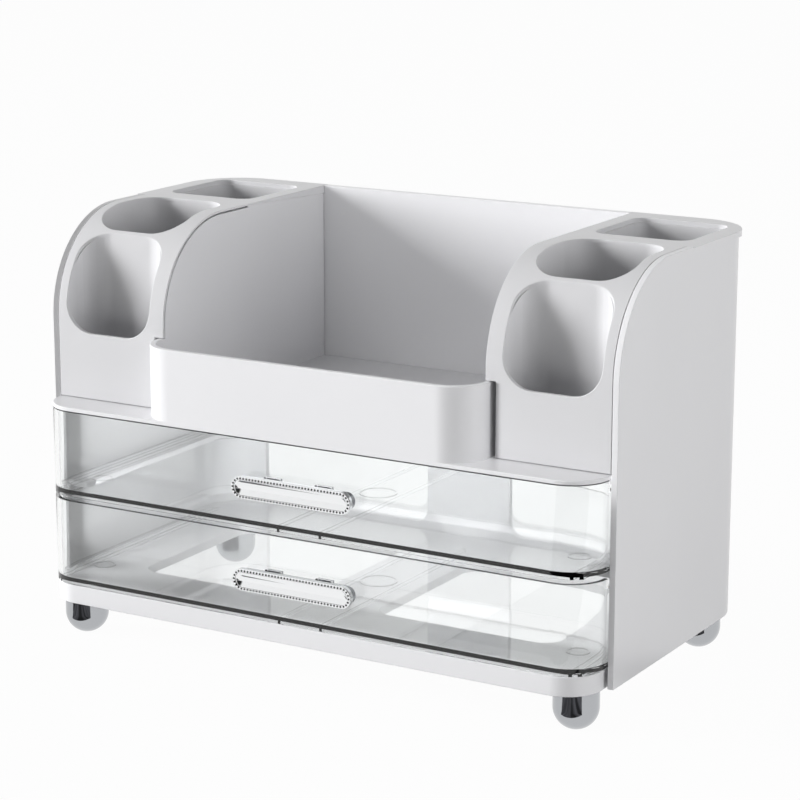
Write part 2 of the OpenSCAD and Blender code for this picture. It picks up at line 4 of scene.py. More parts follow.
import bmesh
import bpy
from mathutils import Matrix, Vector

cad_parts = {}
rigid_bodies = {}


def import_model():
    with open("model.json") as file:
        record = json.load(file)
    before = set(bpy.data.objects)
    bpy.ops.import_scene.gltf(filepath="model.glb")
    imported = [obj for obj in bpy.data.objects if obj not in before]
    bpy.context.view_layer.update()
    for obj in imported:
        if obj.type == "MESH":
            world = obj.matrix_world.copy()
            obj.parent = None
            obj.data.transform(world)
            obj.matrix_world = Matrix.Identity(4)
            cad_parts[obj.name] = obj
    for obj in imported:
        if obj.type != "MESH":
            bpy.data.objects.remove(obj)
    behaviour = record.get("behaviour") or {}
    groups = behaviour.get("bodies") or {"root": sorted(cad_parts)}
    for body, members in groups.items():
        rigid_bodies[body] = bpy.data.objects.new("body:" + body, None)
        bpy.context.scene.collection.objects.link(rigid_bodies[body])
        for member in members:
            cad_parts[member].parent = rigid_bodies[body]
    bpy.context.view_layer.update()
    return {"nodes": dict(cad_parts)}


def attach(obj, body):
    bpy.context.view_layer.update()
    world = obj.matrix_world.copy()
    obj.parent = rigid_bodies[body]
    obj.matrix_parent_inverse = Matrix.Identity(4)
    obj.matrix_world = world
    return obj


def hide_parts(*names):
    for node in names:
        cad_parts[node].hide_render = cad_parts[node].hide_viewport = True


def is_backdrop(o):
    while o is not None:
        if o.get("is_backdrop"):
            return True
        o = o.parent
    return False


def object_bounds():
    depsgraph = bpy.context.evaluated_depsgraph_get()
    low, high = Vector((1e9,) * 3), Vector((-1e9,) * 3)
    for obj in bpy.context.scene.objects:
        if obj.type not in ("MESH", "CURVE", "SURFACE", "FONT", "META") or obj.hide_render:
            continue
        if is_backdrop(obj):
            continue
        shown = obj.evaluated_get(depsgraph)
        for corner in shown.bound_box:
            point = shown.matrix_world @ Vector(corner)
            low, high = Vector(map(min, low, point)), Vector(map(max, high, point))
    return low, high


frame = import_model()
mm = 0.001
scene = bpy.context.scene
scene.view_settings.view_transform = "Standard"
print("frame loaded:", len(frame["nodes"]), "nodes")


# Small tools that every piece shares

def solo(obj):
    bpy.ops.object.select_all(action="DESELECT")
    obj.select_set(True)
    bpy.context.view_layer.objects.active = obj


def addBlock(name, low, high):
    low, high = Vector(low) * mm, Vector(high) * mm
    bpy.ops.object.select_all(action="DESELECT")
    bpy.ops.mesh.primitive_cube_add(size=1, location=(low + high) / 2, scale=high - low)
    obj = bpy.context.object
    obj.name = obj.data.name = name
    bpy.ops.object.transform_apply(location=True, rotation=True, scale=True)
    return obj


def middle(edge):
    return (edge.verts[0].co + edge.verts[1].co) / 2 / mm


def runs(edge, axis):
    way = edge.verts[1].co - edge.verts[0].co
    return abs(way[axis]) > 0.999 * way.length


def near(a, b, room=0.02):
    return abs(a - b) < room


def between(value, low, high, room=0.1):
    return low - room < value < high + room


def uprightAt(edge, x, y):
    return runs(edge, 2) and near(middle(edge).x, x) and near(middle(edge).y, y)


def sharp(edge, least=40):
    return len(edge.link_faces) == 2 and edge.is_convex and edge.calc_face_angle() > math.radians(least)


def pickEdges(obj, test):
    solo(obj)
    bpy.ops.object.mode_set(mode="EDIT")
    bpy.ops.mesh.select_mode(type="EDGE")
    bpy.ops.mesh.select_all(action="DESELECT")
    mesh = bmesh.from_edit_mesh(obj.data)
    mesh.normal_update()
    picked = [edge for edge in mesh.edges if test(edge)]
    for edge in picked:
        edge.select_set(True)
    bmesh.update_edit_mesh(obj.data)
    return len(picked)


def roundEdges(obj, test, width, segments=3):
    count = pickEdges(obj, test)
    if count:
        bpy.ops.mesh.bevel(
            offset=width * mm, segments=segments, profile=0.5, affect="EDGES", clamp_overlap=False)
    bpy.ops.object.mode_set(mode="OBJECT")
    return count


def carve(obj, cutter):
    solo(obj)
    bpy.ops.object.modifier_add(type="BOOLEAN")
    mod = obj.modifiers[-1]
    mod.operation, mod.object, mod.solver = "DIFFERENCE", cutter, "EXACT"
    bpy.ops.object.modifier_apply(modifier=mod.name)
    bpy.data.objects.remove(cutter, do_unlink=True)


# A cutter with round upright edges, one radius at its low Y and one at its high Y
def addRoundCutter(low, high, lowRadius, highRadius, footRadius=0):
    cutter = addBlock("cutter", low, high)
    for y, radius in ((low[1], lowRadius), (high[1], highRadius)):
        roundEdges(cutter, lambda e: uprightAt(e, low[0], y) or uprightAt(e, high[0], y), radius, 10)
    if footRadius:
        roundEdges(cutter, lambda e: near(middle(e).z, low[2]) and sharp(e), footRadius)
    return cutter


def joinInto(obj, others):
    solo(obj)
    for other in others:
        other.select_set(True)
    bpy.ops.object.join()
    return obj


def mirrored(obj, name):
    other = obj.copy()
    other.data = obj.data.copy()
    other.name = other.data.name = name
    scene.collection.objects.link(other)
    for v in other.data.vertices:
        v.co.x = -v.co.x
    solo(other)
    bpy.ops.object.mode_set(mode="EDIT")
    bpy.ops.mesh.select_all(action="SELECT")
    bpy.ops.mesh.flip_normals()
    bpy.ops.object.mode_set(mode="OBJECT")
    return other


# Smooth over the fillets, with the large faces kept flat
def smoothOver(obj, angle=38):
    solo(obj)
    bpy.ops.object.shade_smooth_by_angle(angle=math.radians(angle))
    bpy.ops.object.modifier_add(type="WEIGHTED_NORMAL")
    mod = obj.modifiers[-1]
    mod.keep_sharp = True
    bpy.ops.object.modifier_apply(modifier=mod.name)


def seat(obj, nodes, body, material):
    obj.data.materials.clear()
    obj.data.materials.append(material)
    if nodes:
        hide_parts(*nodes)
    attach(obj, body)


# A copy of a CAD node's mesh, merged, with its flat faces whole again
def workingCopy(nodeName, name):
    source = frame["nodes"][nodeName]
    obj = source.copy()
    obj.data = source.data.copy()
    obj.parent = None
    for key in list(obj.keys()):
        del obj[key]
    obj.name = obj.data.name = name
    scene.collection.objects.link(obj)
    solo(obj)
    bpy.ops.object.mode_set(mode="EDIT")
    bpy.ops.mesh.select_all(action="SELECT")
    bpy.ops.mesh.remove_doubles(threshold=2e-6)
    bpy.ops.mesh.dissolve_limited(angle_limit=math.radians(0.3))
    bpy.ops.object.mode_set(mode="OBJECT")
    if obj.data.has_custom_normals:
        bpy.ops.mesh.customdata_custom_splitnormals_clear()
    return obj


# Materials

def linear(hexText):
    parts = [int(hexText[i:i + 2], 16) / 255 for i in (1, 3, 5)]
    return [p / 12.92 if p <= 0.04045 else ((p + 0.055) / 1.055) ** 2.4 for p in parts] + [1]


def addNode(tree, kind, settings=None, links=None):
    made = tree.nodes.new(kind)
    for key, value in (settings or {}).items():
        if key in made.inputs:
            made.inputs[key].default_value = value
        else:
            setattr(made, key, value)
    for key, output in (links or {}).items():
        tree.links.new(output, made.inputs[key])
    return made


def newMaterial(name, settings):
    material = bpy.data.materials.new(name)
    material.use_nodes = True
    tree = material.node_tree
    tree.nodes.clear()
    shader = addNode(tree, "ShaderNodeBsdfPrincipled", settings)
    addNode(tree, "ShaderNodeOutputMaterial", None, {"Surface": shader.outputs["BSDF"]})
    place = addNode(tree, "ShaderNodeTexCoord").outputs["Object"]
    return material, tree, shader, place


# Injection moulded ABS from a polished tool: a soft gloss with a faint orange peel
absLook = dict(
    colour="#dcdcde", cloud="#d8d8da", cloudSize=70, peelSize=1.6, peelStrength=0.015, peelDeep=0.05,
    roughLow=0.27, roughHigh=0.32, ior=1.53)


def mouldedAbs():
    look = absLook
    material, tree, shader, place = newMaterial("whiteMouldedAbs", {"IOR": look["ior"]})
    cloud = addNode(tree, "ShaderNodeTexNoise", {"Scale": 1 / (look["cloudSize"] * mm), "Detail": 2.0},
                    {"Vector": place})
    tint = addNode(tree, "ShaderNodeMix",
                   {"data_type": "RGBA", "A": linear(look["colour"]), "B": linear(look["cloud"])},
                   {"Factor": cloud.outputs["Fac"]})
    peel = addNode(tree, "ShaderNodeTexNoise", {"Scale": 1 / (look["peelSize"] * mm), "Detail": 2.0},
                   {"Vector": place})
    rough = addNode(tree, "ShaderNodeMapRange", {"To Min": look["roughLow"], "To Max": look["roughHigh"]},
                    {"Value": peel.outputs["Fac"]})
    bump = addNode(tree, "ShaderNodeBump",
                   {"Strength": look["peelStrength"], "Distance": look["peelDeep"] * mm},
                   {"Height": peel.outputs["Fac"]})
    tree.links.new(tint.outputs["Result"], shader.inputs["Base Color"])
    tree.links.new(rough.outputs["Result"], shader.inputs["Roughness"])
    tree.links.new(bump.outputs["Normal"], shader.inputs["Normal"])
    return material


# Clear polystyrene: moulded, colourless, with a little flow ripple in its faces
clearLook = dict(
    colour="#fdfefe", roughness=0.015, ior=1.57, rippleSize=22, rippleStrength=0.06, rippleDeep=0.3)


def clearStyrene():
    look = clearLook
    material, tree, shader, place = newMaterial("clearPolystyrene", {
        "Base Color": linear(look["colour"]), "Roughness": look["roughness"],
        "IOR": look["ior"], "Transmission Weight": 1.0})
    ripple = addNode(tree, "ShaderNodeTexNoise", {"Scale": 1 / (look["rippleSize"] * mm), "Detail": 1.0},
                     {"Vector": place})
    bump = addNode(tree, "ShaderNodeBump",
                   {"Strength": look["rippleStrength"], "Distance": look["rippleDeep"] * mm},
                   {"Height": ripple.outputs["Fac"]})
    tree.links.new(bump.outputs["Normal"], shader.inputs["Normal"])
    return material


# Plated metal, bright where its roughness is low, with a haze that varies over hazeSize mm
def platedMetal(name, colour, low, high, hazeSize):
    material, tree, shader, place = newMaterial(name, {"Base Color": linear(colour), "Metallic": 1.0})
    haze = addNode(tree, "ShaderNodeTexNoise", {"Scale": 1 / (hazeSize * mm), "Detail": 3.0},
                   {"Vector": place})
    rough = addNode(tree, "ShaderNodeMapRange", {"To Min": low, "To Max": high},
                    {"Value": haze.outputs["Fac"]})
    tree.links.new(rough.outputs["Result"], shader.inputs["Roughness"])
    return material


whiteAbs = mouldedAbs()
clearPlastic = clearStyrene()
chromePlate = platedMetal("chromePlate", "#b2b4b7", 0.03, 0.08, 6)
brightPlate = platedMetal("vacuumMetallisedPlastic", "#f0f1f2", 0.04, 0.09, 5)
mirrorPlate = platedMetal("brightMirrorPlate", "#f1f2f3", 0.05, 0.1, 9)
satinPlate = platedMetal("satinNickelPlate", "#a2a4a7", 0.22, 0.3, 3)
# Near-black metal on the beads, so that they read as dark dots
darkBeadMetal = platedMetal("nearBlackBeadMetal", "#1b1c1e", 0.12, 0.2, 1)
zincSteel = platedMetal("zincPlatedSteel", "#9a9ea3", 0.28, 0.42, 2)
print("materials made")


# Cup towers: a flat skin with filleted mouths, rolled round the curve over a core with three pockets
tower = dict(
    front=-66.225, bottom=127.1, top=223.5, arc=54, lapX=94.2, wallX=97.9, outX=161.4, rimX=166.5,
    rimY=13.075, backY=93.075, rimBackY=94.575, rimRadius=31.5, rimStart=0.4, rimEnd=4.4,
    notchX=99.8, notchTop=164.7, notchDeep=5, skin=2.0, lap=0.9, cupX=(103.3, 156.0), sill=162.0,
    frontCup=(-64.225, -45.125), midCup=(-42.925, 11.075), rearCup=(26.075, 81.075),
    cupRadius=15, frontRadius=2, rearRadius=8, mouthGrow=1, floor=129.0, floorFillet=1.2,
    step=1.2, stepDeep=2.4, mouthFillet=0.5, edgeFillet=0.3, slices=36, dropFrom=25, dropOver=22,
    lapBand=0.7, backBand=5, coreInset=1.2, coreGap=0.3, coreLift=0.2, coreBack=8, cornerRadius=26,
    pocketGrow=0.15, sillDrop=0.5, sillReach=3, seatGrow=2.5,
    # How far the cutters reach past what they cut
    cutX=80, cutPast=5, mouthPast=9, rearCut=(200, 240), cupPast=30, groovePast=1)
tower["arcStart"] = tower["top"] - tower["arc"] - tower["bottom"]
tower["arcEnd"] = tower["arcStart"] + tower["arc"] * math.pi / 2


# Distance up the front and over the curve to a place y
def skinRun(y):
    t = tower
    if y > t["front"] + t["arc"]:
        return t["arcEnd"] + y - t["front"] - t["arc"]
    return t["arcStart"] + t["arc"] * math.acos(1 - (y - t["front"]) / t["arc"])


# Rolls the flat skin: Y is the distance along it, Z the depth below its face
def rollSkin(obj):
    t = tower
    for v in obj.data.vertices:
        run, deep = v.co.y / mm, v.co.z / mm
        if run < t["arcStart"]:
            y, z, turn = t["front"], t["bottom"] + run, 0
        elif run < t["arcEnd"]:
            turn = (run - t["arcStart"]) / t["arc"]
            y = t["front"] + t["arc"] * (1 - math.cos(turn))
            z = t["top"] - t["arc"] * (1 - math.sin(turn))
        else:
            y, z, turn = t["front"] + t["arc"] + run - t["arcEnd"], t["top"], math.pi / 2
        # From the partition on, the mouths' sides drop straight down
        share = min(1, max(0, (math.degrees(turn) - t["dropFrom"]) / t["dropOver"]))
        way = Vector((0, -math.cos(turn), math.sin(turn))).lerp(Vector((0, 0, 1)), share).normalized()
        v.co = (v.co.x, (y + way.y * deep) * mm, (z + way.z * deep) * mm)


def makeTowerSkin():
    t = tower
    length = skinRun(t["rimY"])
    skin = addBlock("towerSkin", (t["lapX"], 0, -t["skin"]), (t["outX"], length, 0))
    past = t["cutPast"]
    low = (t["cutX"], -past, -past)
    carve(skin, addBlock("cutter", low, (t["notchX"], t["notchTop"] - t["bottom"], past)))
    carve(skin, addBlock("cutter", low, (t["wallX"], length + past, -t["lap"])))
    x0, x1 = t["cupX"]
    frontMouth = (t["sill"] - t["bottom"], skinRun(t["frontCup"][1]))
    midMouth = (skinRun(t["midCup"][0]), skinRun(t["midCup"][1]))
    radius, past = t["cupRadius"] + t["mouthGrow"], t["mouthPast"]
    for mouth in (frontMouth, midMouth):
        carve(skin, addRoundCutter((x0, mouth[0], -past), (x1, mouth[1], past), radius, radius))

    def face(e):
        return near(e.verts[0].co.z, 0, 1e-6) and near(e.verts[1].co.z, 0, 1e-6) and sharp(e)

    def mouthEdge(e):
        return face(e) and between(middle(e).x, x0, x1) and between(middle(e).y, frontMouth[0], midMouth[1])

    print("mouth edges", roundEdges(skin, mouthEdge, t["mouthFillet"], 4))
    count = roundEdges(skin, lambda e: face(e) and middle(e).y < length - 0.1, t["edgeFillet"])
    print("skin edges", count)
    solo(skin)
    bpy.ops.object.mode_set(mode="EDIT")
    for i in range(t["slices"] + 1):
        run = t["arcStart"] + (t["arcEnd"] - t["arcStart"]) * i / t["slices"]
        bpy.ops.mesh.select_all(action="SELECT")
        bpy.ops.mesh.bisect(plane_co=(0, run * mm, 0), plane_no=(0, 1, 0), threshold=1e-7)
    bpy.ops.object.mode_set(mode="OBJECT")
    rollSkin(skin)
    return skin


# The level top behind the curve, with the rear mouth and the rim that covers the panels
def makeTowerTop():
    t = tower
    top = addBlock("towerTop", (t["lapX"], t["rimY"], t["top"] - t["stepDeep"]),
                   (t["rimX"], t["rimBackY"], t["top"]))
    roundEdges(top, lambda e: uprightAt(e, t["rimX"], t["rimBackY"]), t["rimRadius"], 20)
    x0, x1 = t["cupX"]
    y0, y1 = t["rearCup"]
    z0, z1 = t["rearCut"]
    carve(top, addRoundCutter((x0, y0, z0), (x1, y1, z1), t["rearRadius"], t["rearRadius"]))

    def face(e):
        return near(e.verts[0].co.z / mm, t["top"]) and near(e.verts[1].co.z / mm, t["top"]) and sharp(e)

    def mouthEdge(e):
        return face(e) and between(middle(e).x, x0, x1) and between(middle(e).y, y0, y1)

    roundEdges(top, mouthEdge, t["mouthFillet"], 4)
    roundEdges(top, lambda e: face(e) and middle(e).y > t["rimY"] + 0.1, t["edgeFillet"])
    # The rim's depth grows from where it begins to the back
    band = t["lapBand"]
    for v in top.data.vertices:
        x, y = v.co.x / mm, v.co.y / mm
        if x > t["outX"] or x < t["lapX"] + band or y > y1 + t["backBand"] or y < t["rimY"] + band:
            deep = t["rimStart"] + (t["rimEnd"] - t["rimStart"]) * (y - t["rimY"]) / (t["backY"] - t["rimY"])
            v.co.z = t["top"] * mm - (t["top"] * mm - v.co.z) * deep / t["stepDeep"]
    return top


def makeTowerCore():
    t = tower
    inset, gap = t["coreInset"], t["coreGap"]
    front, top = t["front"] + inset, t["top"] - inset
    outX, backY = t["outX"] - gap, t["rearCup"][1] + t["coreBack"]
    core = addBlock("towerCore", (t["wallX"] + gap, front, t["bottom"] + t["coreLift"]), (outX, backY, top))
    roundEdges(core, lambda e: runs(e, 0) and near(middle(e).y, front) and near(middle(e).z, top),
               t["arc"] - inset, 32)
    roundEdges(core, lambda e: uprightAt(e, outX, backY), t["cornerRadius"], 12)
    # The pockets stand a little outside the mouths, so that no two faces lie in one plane
    grow = t["pocketGrow"]
    x0, x1 = t["cupX"][0] - grow, t["cupX"][1] + grow
    floorZ, high = t["floor"], t["top"] + t["cupPast"]
    for cup, frontRadius in (("frontCup", t["frontRadius"]), ("midCup", t["cupRadius"])):
        y0, y1 = t[cup]
        carve(core, addRoundCutter((x0, y0 - grow, floorZ), (x1, y1 + grow, high),
                                   frontRadius, t["cupRadius"], t["floorFillet"]))
    y0, y1 = t["rearCup"]
    step, radius = t["step"], t["rearRadius"] - t["step"]
    carve(core, addRoundCutter((x0 + step, y0 + step, floorZ), (x1 - step, y1 - step, high),
                               radius, radius, t["floorFillet"]))
    # The front cup is open above its sill
    before = t["front"] - t["mouthPast"]
    carve(core, addBlock("cutter", (x0, before, t["sill"] - t["sillDrop"]),
                         (x1, t["frontCup"][0] + t["sillReach"], high)))
    # The groove beside the tray's front wall
    past = t["groovePast"]
    carve(core, addBlock("cutter", (t["wallX"] - past, before, t["bottom"] - past),
                         (t["notchX"], t["front"] + t["notchDeep"], t["notchTop"])))
    # The seat of the rear mouth's step
    grow = t["seatGrow"]
    carve(core, addBlock("cutter", (x0 - grow, y0 - grow, t["top"] - t["stepDeep"]),
                         (x1 + grow, y1 + grow, high)))
    return core


rightTower = joinInto(makeTowerSkin(), [makeTowerTop(), makeTowerCore()])
rightTower.name = rightTower.data.name = "rightCupTower"
leftTower = mirrored(rightTower, "leftCupTower")
for obj, nodeName in ((rightTower, "right_cup_tower"), (leftTower, "left_cup_tower")):
    smoothOver(obj)
    seat(obj, [nodeName], "case", whiteAbs)
print("cup towers made:", len(rightTower.data.polygons), "faces each")


# Panels, base and tray: the CAD mouldings with their edges eased
easedMouldings = dict(
    rightSidePanel=("right_side_panel", 0.35), leftSidePanel=("left_side_panel", 0.35),
    backPanel=("back_panel", 0.4), baseFrame=("base_frame", 0.5), bayTray=("bay_tray", 0.5))
easedFrom = dict(angle=50, length=0.4)  # flatter and shorter edges stay as they are
for name, (nodeName, width) in easedMouldings.items():
    obj = workingCopy(nodeName, name)
    count = roundEdges(obj, lambda e: sharp(e, easedFrom["angle"]) and (
        e.calc_length() > easedFrom["length"] * mm), width)
    smoothOver(obj)
    seat(obj, [nodeName], "case", whiteAbs)
    print(name, "eased edges", count, "faces", len(obj.data.polygons))


# Drawers: clear trays, the CAD mouldings with their round corners smoothed
for which in ("upper", "lower"):
    obj = workingCopy(which + "_drawer", which + "ClearDrawer")
    smoothOver(obj)
    seat(obj, [which + "_drawer"], which + "_drawer", clearPlastic)
    obj.visible_shadow = False  # clear plastic lets the lamps through
    print(which, "drawer faces", len(obj.data.polygons))


# Handles: a bezel with a row of beads and a dished mirror, on a collar with two snap legs
handle = dict(
    length=70, tall=11.7, face=-93.925, back=-86.945, round=72,
    bezel=2.6, rim=1.8, dish=1.75, rimFillet=0.35, filletFrom=60,
    collarLength=68, collarTall=9, collarGap=0.3, collarFillet=0.6,
    mirrorGap=0.12, mirrorLow=0.35, mirrorClear=0.02, mirrorEdge=0.25,
    hollow=1.1, hollowSteps=12, hollowShare=0.96,
    beads=80, beadSize=1.08, beadFlat=0.6, beadInset=1.12, beadSunk=0.38, beadSides=12, beadRings=8,
    legX=15, legWide=9, legThick=1.6, legReach=4, legRoot=1, legHeight=3.2, legFillet=0.2,
    hook=0.8, hookLong=1.6, hookRoot=0.1, heights=dict(upper=101.0, lower=53.0))


# A plate with round ends, standing on edge across Y
def addStadium(name, length, tall, front, back):
    bpy.ops.object.select_all(action="DESELECT")
    bpy.ops.mesh.primitive_cylinder_add(
        vertices=handle["round"], radius=tall / 2 * mm, depth=(back - front) * mm,
        location=(0, (front + back) / 2 * mm, 0), rotation=(math.pi / 2, math.pi / handle["round"], 0))
    obj = bpy.context.object
    obj.name = obj.data.name = name
    bpy.ops.object.transform_apply(location=True, rotation=True, scale=True)
    half = (length - tall) / 2 * mm
    for v in obj.data.vertices:
        v.co.x += half if v.co.x > 0 else -half
    return obj


# Leaves only the plate's front face selected, in edit mode
def pickFront(obj):
    solo(obj)
    bpy.ops.object.mode_set(mode="EDIT")
    bpy.ops.mesh.select_mode(type="FACE")
    bpy.ops.mesh.select_all(action="DESELECT")
    mesh = bmesh.from_edit_mesh(obj.data)
    mesh.normal_update()
    for face in mesh.faces:
        face.select_set(face.normal.y < -0.99)
    bmesh.update_edit_mesh(obj.data)


# A place on the row of beads, by its share of the way round
def rimPlace(share):
    h = handle
    straight, radius = h["length"] - h["tall"], h["tall"] / 2 - h["beadInset"]
    bend = math.pi * radius
    run = share * 2 * (straight + bend)
    half, side = straight / 2, 1
    if run >= straight + bend:
        run, side = run - straight - bend, -1
    if run < straight:
        return side * (run - half), side * radius
    turn = (run - straight) / radius
    return side * (half + radius * math.sin(turn)), side * radius * math.cos(turn)


def makeHandleFrame():
    h = handle
    bezel = addStadium("handleFrame", h["length"], h["tall"], h["face"], h["face"] + h["bezel"])
    pickFront(bezel)
    bpy.ops.mesh.inset(thickness=h["rim"] * mm, depth=0, use_even_offset=True)
    bpy.ops.mesh.extrude_region_move(TRANSFORM_OT_translate={"value": (0, h["dish"] * mm, 0)})
    bpy.ops.object.mode_set(mode="OBJECT")
    roundEdges(bezel, lambda e: sharp(e, h["filletFrom"]), h["rimFillet"])
    return bezel


def makeHandleCollar():
    h = handle
    collar = addStadium("collar", h["collarLength"], h["collarTall"],
                        h["face"] + h["dish"] + h["collarGap"], h["back"])
    roundEdges(collar, lambda e: sharp(e, h["filletFrom"]) and middle(e).y > h["back"] - 0.1,
               h["collarFillet"])
    parts = []
    for side in (-1, 1):
        x, half = side * h["legX"], h["legWide"] / 2
        under, over = h["legHeight"] - h["legThick"] / 2, h["legHeight"] + h["legThick"] / 2
        end = h["back"] + h["legReach"]
        leg = addBlock("leg", (x - half, h["back"] - h["legRoot"], under), (x + half, end, over))
        hook = addBlock("hook", (x - half, end - h["hookLong"], over - h["hookRoot"]),
                        (x + half, end, over + h["hook"]))
        for piece in (leg, hook):
            roundEdges(piece, lambda e: sharp(e, h["filletFrom"]), h["legFillet"], 2)
        parts += [leg, hook]
    return joinInto(collar, parts)


# The real beads are a little finer: drawn larger, fewer and dark, they read as dots in a render
def makeHandleBeads():
    h = handle
    bpy.ops.object.select_all(action="DESELECT")
    bpy.ops.mesh.primitive_uv_sphere_add(
        segments=h["beadSides"], ring_count=h["beadRings"], radius=h["beadSize"] / 2 * mm,
        rotation=(math.pi / 2, 0, 0))
    bead = bpy.context.object
    bpy.ops.object.transform_apply(location=True, rotation=True, scale=True)
    bpy.ops.object.mode_set(mode="EDIT")
    bpy.ops.mesh.select_all(action="SELECT")
    bpy.ops.mesh.bisect(plane_co=(0, h["beadSunk"] * mm, 0), plane_no=(0, 1, 0), clear_outer=True,
                        use_fill=True, threshold=1e-5)  # at one ring, or the fill doubles faces
    bpy.ops.object.mode_set(mode="OBJECT")
    for v in bead.data.vertices:
        v.co.y *= h["beadFlat"] if v.co.y < 0 else 1
    parts = []
    for i in range(h["beads"]):
        x, z = rimPlace(i / h["beads"])
        copy = bead.copy()
        copy.data = bead.data.copy()
        scene.collection.objects.link(copy)
        for v in copy.data.vertices:
            v.co += Vector((x, h["face"], z)) * mm
        parts.append(copy)
    bpy.data.objects.remove(bead, do_unlink=True)
    return joinInto(parts[0], parts[1:])


# The mirror's face is hollowed as by a ball drawn along its middle
def makeHandleMirror():
    h = handle
    cut = 2 * (h["rim"] + h["mirrorGap"])
    mirror = addStadium("handleMirror", h["length"] - cut, h["tall"] - cut,
                        h["face"] + h["mirrorLow"], h["face"] + h["dish"] - h["mirrorClear"])
    pickFront(mirror)
    bpy.ops.mesh.inset(thickness=h["mirrorEdge"] * mm, depth=0, use_even_offset=True)
    half = (h["tall"] - cut) / 2 - h["mirrorEdge"]
    ball = (half ** 2 + h["hollow"] ** 2) / (2 * h["hollow"])
    offset = half * h["hollowShare"] / h["hollowSteps"]
    deep = 0
    for i in range(1, h["hollowSteps"] + 1):
        deeper = math.sqrt(ball ** 2 - (half - offset * i) ** 2) - (ball - h["hollow"])
        bpy.ops.mesh.inset(thickness=offset * mm, depth=-(deeper - deep) * mm, use_even_offset=True)
        deep = deeper
    bpy.ops.object.mode_set(mode="OBJECT")
    return mirror


def lifted(obj, name, height):
    other = obj.copy()
    other.data = obj.data.copy()
    other.name = other.data.name = name
    scene.collection.objects.link(other)
    for v in other.data.vertices:
        v.co.z += height * mm
    return other


# The collar and the beads belong to the frame's node
handleShapes = dict(
    Frame=(makeHandleFrame(), ["handle_frame"], "chrome", brightPlate),
    Collar=(makeHandleCollar(), [], "chrome", satinPlate),
    Beads=(makeHandleBeads(), [], "chrome", darkBeadMetal),
    Mirror=(makeHandleMirror(), ["handle_mirror"], "mirror", mirrorPlate))
handleSmooth = 50  # degrees
for kind, (shape, nodes, slotName, finish) in handleShapes.items():
    for which, height in handle["heights"].items():
        obj = lifted(shape, which + "Handle" + kind, height)
        smoothOver(obj, handleSmooth)
        seat(obj, [which + "_" + node for node in nodes], which + "_drawer", finish)
    print("handle", kind.lower(), len(shape.data.polygons), "faces")
    bpy.data.objects.remove(shape, do_unlink=True)


# Feet: a ball cut flat below, drawn up into a short cylinder
foot = dict(
    size=23, tall=20.4, flat=8, flatFillet=0.5, topFillet=0.3, sides=64, rings=48,
    spotX=146.4, frontY=-68.325, rearY=74.475)


def makeFoot():
    f = foot
    radius = f["size"] / 2
    centre = math.sqrt(radius ** 2 - (f["flat"] / 2) ** 2)
    bpy.ops.object.select_all(action="DESELECT")
    bpy.ops.mesh.primitive_uv_sphere_add(
        segments=f["sides"], ring_count=f["rings"], radius=radius * mm, location=(0, 0, centre * mm))
    obj = bpy.context.object
    bpy.ops.object.transform_apply(location=True, rotation=True, scale=True)
    bpy.ops.object.mode_set(mode="EDIT")
    bpy.ops.mesh.select_all(action="SELECT")
    bpy.ops.mesh.bisect(plane_co=(0, 0, 0), plane_no=(0, 0, -1), clear_outer=True, use_fill=True)
    bpy.ops.mesh.select_all(action="SELECT")
    bpy.ops.mesh.bisect(plane_co=(0, 0, centre * mm), plane_no=(0, 0, 1), clear_outer=True, use_fill=True)
    bpy.ops.mesh.extrude_region_move(TRANSFORM_OT_translate={"value": (0, 0, (f["tall"] - centre) * mm)})
    bpy.ops.object.mode_set(mode="OBJECT")
    roundEdges(obj, lambda e: sharp(e, 30) and near(middle(e).z, 0), f["flatFillet"])
    roundEdges(obj, lambda e: sharp(e, 60) and near(middle(e).z, f["tall"]), f["topFillet"], 2)
    return obj


footShape = makeFoot()
for end, y in (("front", foot["frontY"]), ("rear", foot["rearY"])):
    for side, x in (("left", -foot["spotX"]), ("right", foot["spotX"])):
        obj = lifted(footShape, end + side.capitalize() + "Foot", 0)
        for v in obj.data.vertices:
            v.co += Vector((x, y, 0)) * mm
        smoothOver(obj)
        seat(obj, ["_".join((end, side, "foot"))], "case", chromePlate)
print("feet made:", len(footShape.data.polygons), "faces each")
bpy.data.objects.remove(footShape, do_unlink=True)

# Studs and screws stay as the CAD made them
for name in ("foot_studs", "base_screws", "tray_screws"):
    obj = frame["nodes"][name]
    obj.data.materials.clear()
    obj.data.materials.append(zincSteel)


# Stage: a white sweep, white to the eye, with a soft shadow
stage = dict(
    floorSize=12000, floorColour="#b8b8b8", glow=0.97,
    frontSky=0.1, backSky=0.42, frontUpTo=0.0, backFrom=0.6,
    darkWay=(0.75, -0.66, 0), darkRoom=0.03, whiteRoom=0.95, whiteUpTo=0.2, darkFrom=0.45)


# Rays from the camera, straight or through the clear drawers
def seenByEye(tree):
    path = addNode(tree, "ShaderNodeLightPath")
    either = addNode(tree, "ShaderNodeMath", {"operation": "MAXIMUM"})
    tree.links.new(path.outputs["Is Camera Ray"], either.inputs[0])
    tree.links.new(path.outputs["Is Transmission Ray"], either.inputs[1])
    return path, either.outputs[0]


